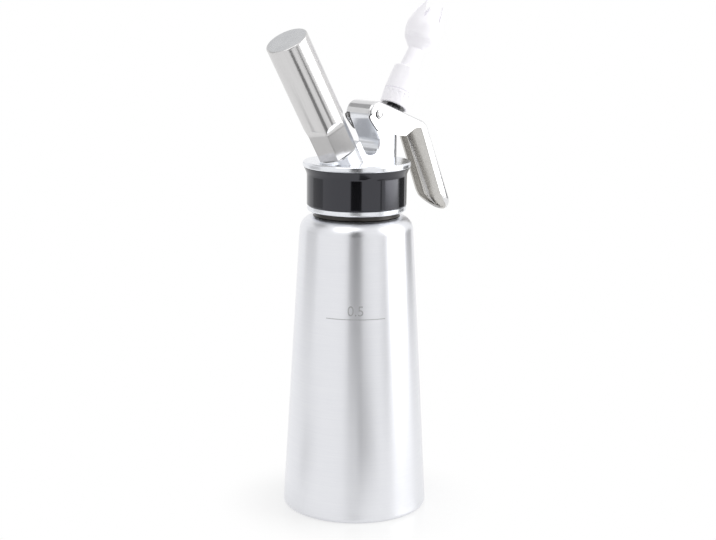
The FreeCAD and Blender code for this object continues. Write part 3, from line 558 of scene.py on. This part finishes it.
def moulded(name, bright, dull, roughness, grit, depth, **sockets):
    """A moulded surface with a fine grain, grit millimetres wide and depth millimetres high."""
    smoother, rougher = 0.85, 1.15
    material = blank_material(name)
    place = own_axes(material)
    grain = add_node(material, "ShaderNodeTexNoise", {"Scale": 1 / grit, "Detail": 2.0},
                     {"Vector": place.outputs["Vector"]})
    colour = add_node(material, "ShaderNodeMix",
                      {"data_type": "RGBA", 6: to_linear(bright), 7: to_linear(dull)},
                      {0: grain.outputs["Fac"]})
    sheen = add_node(material, "ShaderNodeMapRange",
                     {"To Min": roughness * smoother, "To Max": roughness * rougher},
                     {"Value": grain.outputs["Fac"]})
    relief = add_node(material, "ShaderNodeBump", {"Strength": 1.0, "Distance": depth * MM},
                      {"Height": grain.outputs["Fac"]})
    surface = add_node(material, "ShaderNodeBsdfPrincipled", sockets,
                       {"Base Color": colour.outputs[2], "Roughness": sheen.outputs["Result"],
                        "Normal": relief.outputs["Normal"]})
    add_node(material, "ShaderNodeOutputMaterial", {}, {"Surface": surface.outputs[0]})
    return material


# Dull and even, a soft middle grey.
grey_silicone = moulded("grey_silicone", "ABADAF", "9FA1A3",
                        roughness=0.45, grit=0.5, depth=0.004, IOR=1.43)
give("head_gasket", grey_silicone)


# ---- Head casting -----------------------------------------------------------------------
# Investment cast in one piece of stainless steel: skirt, flange, gas boss, and the flat sided
# arm that carries the lever and houses the valve. It is blasted and tumbled.

# A bright satin, finely mottled by the blasting.
cast_steel = metal("satin_cast_stainless", "EDEFF3", "E4E6EB",
                   smooth_to=0.16, rough_to=0.26, depth=0.002,
                   marks=lambda m: turning_marks(m, spacing=0.8, length=0.8))
give("head_body", cast_steel)


# ---- Grip ring --------------------------------------------------------------------------
# Black silicone sleeve, moulded with a flare under the flange. It is stretched over the head's
# skirt, and its own grip holds it there.

# Nearly black, and smooth enough to mirror the tent with a faint blue cast.
glossy_silicone = moulded("glossy_black_silicone", "0C0C0E", "0A0A0C",
                          roughness=0.10, grit=1.5, depth=0.002,
                          **{"Specular IOR Level": 0.85, "Specular Tint": to_linear("EDEEFA")})
sleeve_bore, sleeve_radius, flare_radius = 27.2, 28.8, 30.4
sleeve_foot, flare_level, lip_level, sleeve_top = 179.3, 197.4, 200.9, 201.3
sleeve = turned("grip_sleeve", [
    (sleeve_bore, sleeve_foot),
    (sleeve_radius, sleeve_foot, 0.5),
    (sleeve_radius, flare_level, 5),
    (flare_radius, lip_level, 0.2),
    (flare_radius, sleeve_top),
    (sleeve_bore, sleeve_top),
], around=160)
smooth(sleeve)
fit(sleeve, glossy_silicone, "head", "black_silicone", "grip_ring")


# ---- Gas inlet --------------------------------------------------------------------------
# A hollow steel needle screwed into the seat, a rubber seal round it, and a moulded silicone cap
# under the head, whose slit lets gas in and no cream out.

# Dull and nearly black, with a fine grain.
black_rubber = moulded("black_rubber", "181818", "131313",
                       roughness=0.5, grit=0.4, depth=0.004, IOR=1.5)
charger_axis = {"foot": (-10.6, 0, 202.7), "tilt": -31.5}
# Finely turned steel, bright, with marks that run round the charger's axis.
bright_steel = metal("bright_turned_stainless", "E2E2E2", "D8D8D8",
                     smooth_to=0.06, rough_to=0.11, depth=0.0003,
                     marks=lambda m: turning_marks(m, spacing=0.3, length=30, **charger_axis))
give("piercing_pin", bright_steel)
give("piercing_seal", black_rubber)
give("inlet_valve", grey_silicone)


# ---- Gas charger ------------------------------------------------------------------------
# A small drawn steel bottle of gas, zinc plated, pierced by the needle when its holder is
# screwed home. Nothing of it shows while the holder is on.

# Light grey with a soft sheen, and faint marks round it from drawing.
plated = metal("zinc_plated_steel", "CACCCE", "BEC0C2",
               smooth_to=0.22, rough_to=0.34, depth=0.001,
               marks=lambda m: turning_marks(m, spacing=0.9, length=3, **charger_axis))
give("gas_charger", plated)


# ---- Charger holder ---------------------------------------------------------------------
# Turned and polished tube, closed at its end, with six flats milled at its open end. Each flat
# runs out in the round of its cutter, and the tube's rims are rounded.

def carve(shape, tool):
    """Takes the tool's shape away from a piece, and clears the tool away."""
    work_on(shape)
    bpy.ops.object.modifier_add(type="BOOLEAN")
    cut = shape.modifiers[-1]
    cut.object = tool
    cut.operation = "DIFFERENCE"
    cut.solver = "EXACT"
    bpy.ops.object.modifier_apply(modifier=cut.name)
    bpy.data.objects.remove(tool)


def stand(shape, foot, tilt):
    """Puts a piece made upright onto an axis that starts at its foot and leans by tilt degrees."""
    work_on(shape)
    shape.location = [value * MM for value in foot]
    shape.rotation_euler = (0, math.radians(tilt), 0)
    settle()


holder_radius, holder_bore, holder_open, holder_floor, holder_end = 12.05, 9.5, 10.3, 81.2, 84.0
flats, first_flat, flat_apothem, flat_top, cutter = 6, 15, 10.45, 26.0, 12.0
block_depth, block_width, block_clear, cutter_clear, slack = 24, 26, 1, 0.05, 0.01
tube = turned("holder_tube", [
    (0, holder_floor),
    (holder_bore, holder_floor, 1.5),
    (holder_bore, holder_open, 0.2),
    (holder_radius, holder_open, 0.4),
    (holder_radius, holder_end, 0.7),
    (0, holder_end),
], around=192)
for side in range(flats):
    work_on(camera)
    bpy.ops.mesh.primitive_cube_add(size=MM)
    flat = bpy.context.object
    flat.scale = (block_depth, block_width, flat_top + cutter - holder_open + block_clear)
    flat.location = ((flat_apothem + block_depth / 2) * MM, 0,
                     (holder_open - block_clear + flat_top + cutter) / 2 * MM)
    settle()
    pick(flat, lambda point: point.x < flat_apothem + slack and point.z > flat_top)
    bpy.ops.mesh.bevel(offset=(cutter - cutter_clear) * MM, segments=20, affect="EDGES",
                       clamp_overlap=False)
    bpy.ops.object.mode_set(mode="OBJECT")
    flat.rotation_euler = (0, 0, math.radians(first_flat + 360 / flats * side))
    settle()
    carve(tube, flat)
smooth(tube, sharp=25)
# One slot for the finish of its side, and one for that of its end.
for _ in range(2):
    tube.data.materials.append(None)
cap_radius = 11.5
pick(tube, lambda point: point.z > holder_end - slack and math.hypot(point.x, point.y) < cap_radius,
     "FACE")
tube.active_material_index = 1
bpy.ops.object.material_slot_assign()
bpy.ops.object.mode_set(mode="OBJECT")
stand(tube, **charger_axis)


def lengthwise_marks(material, spacing, length, foot, tilt):
    """Marks that run up an axis: length millimetres long, and spacing millimetres apart round it."""
    place = own_axes(material, foot, tilt)
    stretched = add_node(material, "ShaderNodeMapping",
                         {"Scale": (1 / spacing, 1 / spacing, 1 / length)},
                         {"Vector": place.outputs["Vector"]})
    return add_node(material, "ShaderNodeTexNoise", {"Scale": 1.0, "Detail": 3.0, "Roughness": 0.6},
                    {"Vector": stretched.outputs["Vector"]})


# Polished up and down its length: bright, with fine streaks that run the same way.
streaked_steel = metal("lengthwise_polished_stainless", "D9D8D8", "CBCACA",
                       smooth_to=0.12, rough_to=0.22, depth=0.0016,
                       marks=lambda m: lengthwise_marks(m, spacing=0.6, length=40, **charger_axis))
# Its closed end was faced on the lathe, and is duller.
tube.data.materials[1] = metal("faced_stainless_end", "D6D7D9", "C6C7C9",
                               smooth_to=0.20, rough_to=0.34, depth=0.0012,
                               marks=lambda m: turning_marks(m, spacing=4, length=6, **charger_axis))
fit(tube, streaked_steel, "holder", "steel_polished", "charger_holder")


# ---- Valve ------------------------------------------------------------------------------
# A hollow turned stem with a collar for the lever, two rubber rings, a silicone disc held by a
# nut, a brass guide bush screwed into the arm, and a spring that pushes the stem shut.

valve_axis = {"foot": (11.6, 0, 202.7), "tilt": 30.0}
# Turned and left bright, with fine marks round the valve's axis.
stem_steel = metal("turned_valve_stainless", "DEDEDE", "D2D2D2",
                   smooth_to=0.10, rough_to=0.18, depth=0.0005,
                   marks=lambda m: turning_marks(m, spacing=0.25, length=12, **valve_axis))
# A dark grey that still shines. The dark is painted shade, for the shade inside the lever's slot round
# the stem.
valve_steel_painted_shade = metal("dark_valve_steel_painted_shade", "5C5C5E", "4A4A4C",
                  smooth_to=0.16, rough_to=0.28, depth=0.0005,
                  marks=lambda m: turning_marks(m, spacing=0.4, length=2))
give("valve_stem", valve_steel_painted_shade)
give("valve_nut", stem_steel)
give("valve_disc", grey_silicone)
# Warm yellow and bright, as it came off the lathe.
brass = metal("turned_brass", "CFAC5E", "C3A052",
              smooth_to=0.16, rough_to=0.24, depth=0.001,
              marks=lambda m: turning_marks(m, spacing=0.3, length=8, **valve_axis))
give("valve_guide", brass)
ring_radius, ring_section = 3.47, 0.64
for name, node, level in (("ring_lower", "stem_ring_lower", -1), ("ring_upper", "stem_ring_upper", 3)):
    work_on(camera)
    bpy.ops.mesh.primitive_torus_add(major_radius=ring_radius * MM, minor_radius=ring_section * MM,
                                     major_segments=64, minor_segments=16,
                                     location=(0, 0, level * MM))
    ring = bpy.context.object
    ring.name = name
    settle()
    smooth(ring, sharp=60)
    stand(ring, **valve_axis)
    fit(ring, black_rubber, "valve", "black_rubber", node)

# Round spring wire, drawn bright.
wire = metal("drawn_spring_wire", "C0C0C2", "B2B2B4",
             smooth_to=0.12, rough_to=0.2, depth=0.0005,
             marks=lambda m: turning_marks(m, spacing=0.3, length=2, **valve_axis))
wire_radius, coil_radius, coil_foot, coil_top, coil_turns = 0.4, 5.2, 21.65, 28.25, 3
near_end, flush = 0.5, 0.001
work_on(camera)
bpy.ops.mesh.primitive_circle_add(vertices=16, radius=wire_radius * MM, rotation=(math.pi / 2, 0, 0),
                                  location=(coil_radius * MM, 0, coil_foot * MM))
spring = bpy.context.object
spring.name = "valve_coil"
settle()
wind(spring, (coil_top - coil_foot) / coil_turns, coil_turns, around=48)
for end in (coil_foot, coil_top):
    pick(spring, lambda point: abs(point.y) < flush and abs(point.z - end) < near_end, "VERT")
    bpy.ops.mesh.edge_face_add()
face_outward()
smooth(spring, sharp=60)
stand(spring, **valve_axis)
fit(spring, wire, "head", "spring_steel", "valve_spring")
# It stands on the guide's flange, and the stem's collar presses it together by half its length.
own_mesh(spring)


# ---- Lever ------------------------------------------------------------------------------
# Pressed from one stainless sheet, 1.2 mm thick, and buffed: a web that rolls over the rear
# end, two cheeks, and a round ended scoop for the fingers. Its bends grow towards the scoop.

def break_edges(shape, width, steeper):
    """Takes a little off every edge that is steeper than that, as deburring does."""
    work_on(shape)
    bpy.ops.object.modifier_add(type="BEVEL")
    edge = shape.modifiers[-1]
    edge.width = width * MM
    edge.segments = 2
    edge.limit_method = "ANGLE"
    edge.angle_limit = math.radians(steeper)
    edge.miter_outer = "MITER_ARC"
    bpy.ops.object.modifier_apply(modifier=edge.name)


def along(points, count):
    """Points spread evenly along a chain of points."""
    spread = []
    for number in range(count):
        place = number / (count - 1) * (len(points) - 1)
        start = min(int(place), len(points) - 2)
        a, b = Vector(points[start]), Vector(points[start + 1])
        spread.append(a.lerp(b, place - start))
    return spread


def drawn_sheet(name, rows):
    """A sheet drawn out of one point: first along its first row, then row by row across it, with
    each point of a new row moved to its place. All in millimetres."""
    work_on(camera)
    bpy.ops.mesh.primitive_plane_add(size=MM, location=Vector(rows[0][0]) * MM)
    shape = bpy.context.object
    shape.name = name
    settle()
    bpy.ops.object.mode_set(mode="EDIT")
    bpy.ops.mesh.select_mode(type="VERT")
    bpy.ops.mesh.select_all(action="SELECT")
    bpy.ops.mesh.merge(type="CENTER")
    for here, there in zip(rows[0], rows[0][1:]):
        bpy.ops.mesh.extrude_vertices_move(TRANSFORM_OT_translate={"value": (there - here) * MM})
    bpy.ops.mesh.select_all(action="SELECT")
    bpy.ops.object.mode_set(mode="OBJECT")
    points = shape.data.vertices
    chain = [min(points, key=lambda v: (v.co / MM - spot).length).index for spot in rows[0]]
    for row in rows[1:]:
        for point in shape.data.vertices:
            point.select = point.index in chain
        for edge in shape.data.edges:
            edge.select = all(index in chain for index in edge.vertices)
        last = {index: shape.data.vertices[index].co.copy() for index in chain}
        bpy.ops.object.mode_set(mode="EDIT")
        bpy.ops.mesh.extrude_edges_move(TRANSFORM_OT_translate={"value": (0, 0, 0)})
        bpy.ops.object.mode_set(mode="OBJECT")
        fresh = [point for point in shape.data.vertices if point.select]
        chain = [min(fresh, key=lambda v: (v.co - last[index]).length).index for index in chain]
        for index, spot in zip(chain, row):
            step = spot * MM - shape.data.vertices[index].co
            bpy.ops.object.mode_set(mode="EDIT")
            bpy.ops.mesh.select_all(action="DESELECT")
            bpy.ops.object.mode_set(mode="OBJECT")
            shape.data.vertices[index].select = True
            bpy.ops.object.mode_set(mode="EDIT")
            bpy.ops.transform.translate(value=step)
            bpy.ops.object.mode_set(mode="OBJECT")
    return shape


# Stations from the rear of the web to the end of the scoop: a point on the web's middle line,
# the way to the inside, the point where the cheek ends, and the bend there.
pin = Vector((7.4, 0, 231.4))
half_width, sheet_thickness, end_round = 10.25, 1.2, 179.15
stations = []

# The rear end is rolled round the pin.
rear_stations, rear_turn, roll_end_turn, rear_radius, rear_bend = 13, 175.2, 70, 7.2, 1.9
rear_edge = along([(0.2, 0, 230.7), (0.35, 0, 229.6), (1.0, 0, 228.4), (2.9, 0, 226.1),
                   (5.0, 0, 223.7), (6.4, 0, 222.3), (7.6, 0, 221.6), (9.6, 0, 221.15),
                   (12.4, 0, 220.6)], rear_stations)
for number, edge in enumerate(rear_edge):
    turn = math.radians(rear_turn - number * (rear_turn - roll_end_turn) / (rear_stations - 1))
    outward = Vector((math.cos(turn), 0, math.sin(turn)))
    stations.append((pin + outward * rear_radius, -outward, edge, rear_bend))

# The flat web falls towards the front. Each station gives its x, its cheek's end and its bend.
web_slope, web_x, web_level = math.radians(20), 9.86, 238.17
downward = Vector((-math.sin(web_slope), 0, -math.cos(web_slope)))
for x, edge, bend in ((16, (15.8, 219.95), 1.9), (22, (21.6, 218.8), 2.0), (27, (27.0, 217.75), 2.0),
                      (29.3, (28.7, 217.42), 2.1), (31, (29.7, 217.5), 2.2), (33, (31.0, 217.95), 2.3),
                      (36.5, (34.5, 219.85), 2.4), (39.5, (37.0, 221.15), 2.5), (42, (38.4, 221.5), 2.6),
                      (45.06, (41.9, 221.58), 2.6)):
    web = Vector((x, 0, web_level - (x - web_x) * math.tan(web_slope)))
    stations.append((web, downward, Vector((edge[0], 0, edge[1])), bend))

# At the knee it turns down into the grip. Each station gives its turn and its cheek's end.
knee, knee_radius, knee_bend = Vector((42.32, 0, 217.84)), 8, 2.6
for turn, edge in ((61, (42.4, 221.52)), (52, (42.8, 221.35)), (43, (43.15, 221.05)),
                   (34, (43.4, 220.6)), (26, (43.9, 219.75))):
    outward = Vector((math.cos(math.radians(turn)), 0, math.sin(math.radians(turn))))
    edge = Vector((edge[0], 0, edge[1]))
    stations.append((knee + outward * knee_radius, -outward, edge, knee_bend))


def back_x(level):
    """Where the grip's straight back lies at a level."""
    start_x, start_level, steepness = 48.1, 224.25, 2.055
    return start_x + (start_level - level) / steepness


def rim_x(level):
    """Where the grip's open rim lies at a level: straight at first, then rounded at the scoop."""
    start_x, start_level, slope = 43.1, 221.6, 0.4321
    scoop = ((182.1, 60.15), (180.7, 60.84), (178.9, 61.92), (176.96, 63.41), (175.2, 65.12),
             (174.24, 66.3), (168.0, 74.4))
    if level > scoop[0][0]:
        return start_x + (start_level - level) * slope
    for (high, x), (low, further) in zip(scoop, scoop[1:]):
        if level > low:
            return x + (high - level) / (high - low) * (further - x)
    return scoop[-1][1]


# Down the grip the way inside is square to its back. Each station gives its level, its rim's
# level and its bend.
inward = Vector((-0.899, 0, -0.4375))
end_bend = 4.5
for level, edge_level, bend in ((214, 211.3, 2.8), (206, 203.1, 3.1), (198, 195.0, 3.5),
                                (190, 186.8, 3.9), (184, 180.9, 4.3), (end_round, 177.3, end_bend)):
    web = Vector((back_x(level), 0, level))
    stations.append((web, inward, Vector((rim_x(edge_level), 0, edge_level)), bend))

# Across each station: the middle line, the bend in five steps, and the cheek's end.
steps = 5
rows = [[] for _ in range(steps + 3)]
for web, inside, edge, bend in stations:
    rows[0].append(web.copy())
    for number in range(steps + 1):
        turn = math.radians(90 * number / steps)
        side = Vector((0, half_width - bend + bend * math.sin(turn), 0))
        rows[number + 1].append(web + side + inside * bend * (1 - math.cos(turn)))
    rows[-1].append(edge + Vector((0, half_width, 0)))
# Round the scoop's end the same section turns from the cheek to the tip, with its bend tightening.
bend_loss, bend_power, edge_lead, least_lip = 2.8, 1.3, 0.12, 0.3
for turn in (15, 30, 45, 60, 72, 82, 90):
    turn = math.radians(turn)
    bend = end_bend - bend_loss * (turn / (math.pi / 2)) ** bend_power
    for step in range(-1, steps + 1):
        curl = math.radians(90 * max(step, 0) / steps)
        out = half_width - bend + bend * math.sin(curl)
        level = end_round - out * math.sin(turn)
        across = 0 if step < 0 else out * math.cos(turn)
        x = back_x(level) - bend * (1 - math.cos(curl))
        rows[step + 1].append(Vector((x, across, level)))
    edge_turn = min(turn + edge_lead * math.cos(turn), math.pi / 2)
    level = end_round - half_width * math.sin(edge_turn)
    x = min(rim_x(level), rows[steps + 1][-1].x - least_lip)
    rows[-1].append(Vector((x, half_width * math.cos(edge_turn), level)))

handle = drawn_sheet("lever_sheet", rows)
work_on(handle)
bpy.ops.object.modifier_add(type="MIRROR")
twin = handle.modifiers[-1]
twin.use_axis = (False, True, False)
same_point = 0.01
twin.merge_threshold = same_point * MM
bpy.ops.object.modifier_apply(modifier=twin.name)
bpy.ops.object.mode_set(mode="EDIT")
bpy.ops.mesh.select_mode(type="VERT")
bpy.ops.mesh.select_all(action="SELECT")
bpy.ops.mesh.remove_doubles(threshold=same_point * MM)
face_outward()
# Its slots are for the outside, the inside and the sheared edge. Its thickness goes inward,
# whichever way its top face looks.
top = max(handle.data.polygons, key=lambda face: face.center.z)
for _ in range(3):
    handle.data.materials.append(None)
bpy.ops.object.modifier_add(type="SOLIDIFY")
plate = handle.modifiers[-1]
plate.thickness = sheet_thickness * MM
plate.offset = -1 if top.normal.z > 0 else 1
plate.use_even_offset = True
plate.material_offset = 1
plate.material_offset_rim = 2
bpy.ops.object.modifier_apply(modifier=plate.name)
# Round the cheeks the sheared edge keeps its dark painted shade, and along the grip it takes the
# inside's finish.
edge_shade_until = 27
for face in handle.data.polygons:
    if face.material_index == 2 and face.center.x > edge_shade_until * MM:
        face.material_index = 1
bpy.ops.object.mode_set(mode="EDIT")
face_outward()

# The stem slot is punched through the web, and the pin's holes through both cheeks.
slot_x, slot_length, slot_width, slot_rounding = 27.4, 13.6, 9.2, 4.59
punch_level, punch_height, pin_hole, punch_length = 232, 20, 2.02, 24
work_on(camera)
bpy.ops.mesh.primitive_cube_add(size=MM)
punch = bpy.context.object
punch.scale = (slot_length, slot_width, punch_height)
punch.location = (slot_x * MM, 0, punch_level * MM)
settle()
# Of all its edges only the four upright ones are rounded.
pick(punch, lambda point: point.z > 0)
bpy.ops.object.mode_set(mode="OBJECT")
for edge in punch.data.edges:
    a, b = [punch.data.vertices[index].co for index in edge.vertices]
    edge.select = abs(a.z - b.z) > punch_height / 2 * MM
bpy.ops.object.mode_set(mode="EDIT")
bpy.ops.mesh.bevel(offset=slot_rounding * MM, segments=14, affect="EDGES", clamp_overlap=False)
bpy.ops.object.mode_set(mode="OBJECT")
carve(handle, punch)
work_on(camera)
bpy.ops.mesh.primitive_cylinder_add(vertices=48, radius=pin_hole * MM, depth=punch_length * MM,
                                    location=pin * MM, rotation=(math.pi / 2, 0, 0))
punch = bpy.context.object
settle()
carve(handle, punch)
break_edges(handle, width=0.15, steeper=50)
smooth(handle, sharp=30)
# Buffed outside: bright, with a faint waviness left by the press. Left as pressed inside, where it is
# rougher, and its darker, warmer colour is painted shade.
pressed_steel = metal("polished_pressed_stainless", "E8E8E9", "DFDFE0",
                      smooth_to=0.12, rough_to=0.20, depth=0.0006,
                      marks=lambda m: turning_marks(m, spacing=14, length=3))
inside_steel_painted_shade = metal("pressed_stainless_inside_painted_shade", "D2D0CD", "C6C4C0",
                  smooth_to=0.22, rough_to=0.30, depth=0.001,
                  marks=lambda m: turning_marks(m, spacing=1.2, length=2))
# The sheared edge is torn and matt. Its dark colour is painted shade, for the gap between the cheeks and
# the arm.
edge_painted_shade = metal("sheared_edge_painted_shade", "6E6D6C", "5C5B5A",
                      smooth_to=0.45, rough_to=0.60, depth=0.004,
                      marks=lambda m: turning_marks(m, spacing=0.6, length=2))
handle.data.materials[1] = inside_steel_painted_shade
handle.data.materials[2] = edge_painted_shade
fit(handle, pressed_steel, "lever", "steel_pressed", "lever")


# ---- Pivot ------------------------------------------------------------------------------
# A stainless rivet, headed cold into a low dome on each cheek. It turns with the lever in a
# brass bush that is pressed into the arm.

# The domes are polished bright. Round the foot of each head, where it meets the cheek, a dark line of
# painted shade is laid into the colour.
corner_shade_to, corner_shade_blend = half_width + 0.5, 0.15
rivet_steel = blank_material("headed_rivet_stainless")
place = own_axes(rivet_steel)
axes = add_node(rivet_steel, "ShaderNodeSeparateXYZ", {}, {"Vector": place.outputs["Vector"]})
sideways = add_node(rivet_steel, "ShaderNodeMath", {"operation": "ABSOLUTE"}, {0: axes.outputs["Y"]})
polished = add_node(rivet_steel, "ShaderNodeMapRange",
                    {"From Min": corner_shade_to, "From Max": corner_shade_to + corner_shade_blend},
                    {"Value": sideways.outputs["Value"]})
colour = add_node(rivet_steel, "ShaderNodeMix",
                  {"data_type": "RGBA", 6: to_linear("2E2E2F"), 7: to_linear("DEDEDE")},
                  {0: polished.outputs["Result"]})
surface = add_node(rivet_steel, "ShaderNodeBsdfPrincipled", {"Metallic": 1.0, "Roughness": 0.16},
                   {"Base Color": colour.outputs[2]})
add_node(rivet_steel, "ShaderNodeOutputMaterial", {}, {"Surface": surface.outputs[0]})
give("lever_pin", rivet_steel)
give("pivot_bush", brass)


# ---- Nozzle -----------------------------------------------------------------------------
# An adapter with a ribbed collar, screwed onto the stem over a rubber washer, and a tulip tip
# screwed into it. Both are moulded in white polypropylene.

# White with a soft gloss. A faint glow stands for the light that its thin wall lets through.
white_plastic = moulded("white_polypropylene", "FDFCFF", "F8F6FC",
                        roughness=0.32, grit=2.5, depth=0.001,
                        **{"IOR": 1.49, "Emission Color": to_linear("FBF8FF"),
                           "Emission Strength": 0.05})
give("nozzle_seal", black_rubber)
for node in ("nozzle_adapter", "decorating_tip"):
    give(node, white_plastic)
# The collar's foot is closed by a dark ring: a piece of painted shade, for the shade in the lever's slot
# under the collar.
shade_ring_bore, shade_ring_radius, shade_ring_foot, shade_ring_top = 4.25, 7.1, 35.85, 36.3
shade_ring = turned("collar_foot_shade_ring", [
    (shade_ring_bore, shade_ring_foot),
    (shade_ring_radius, shade_ring_foot, 0.2),
    (shade_ring_radius, shade_ring_top),
    (shade_ring_bore, shade_ring_top),
])
stand(shade_ring, **valve_axis)
smooth(shade_ring)
fit(shade_ring, valve_steel_painted_shade, "nozzle", "steel_polished")
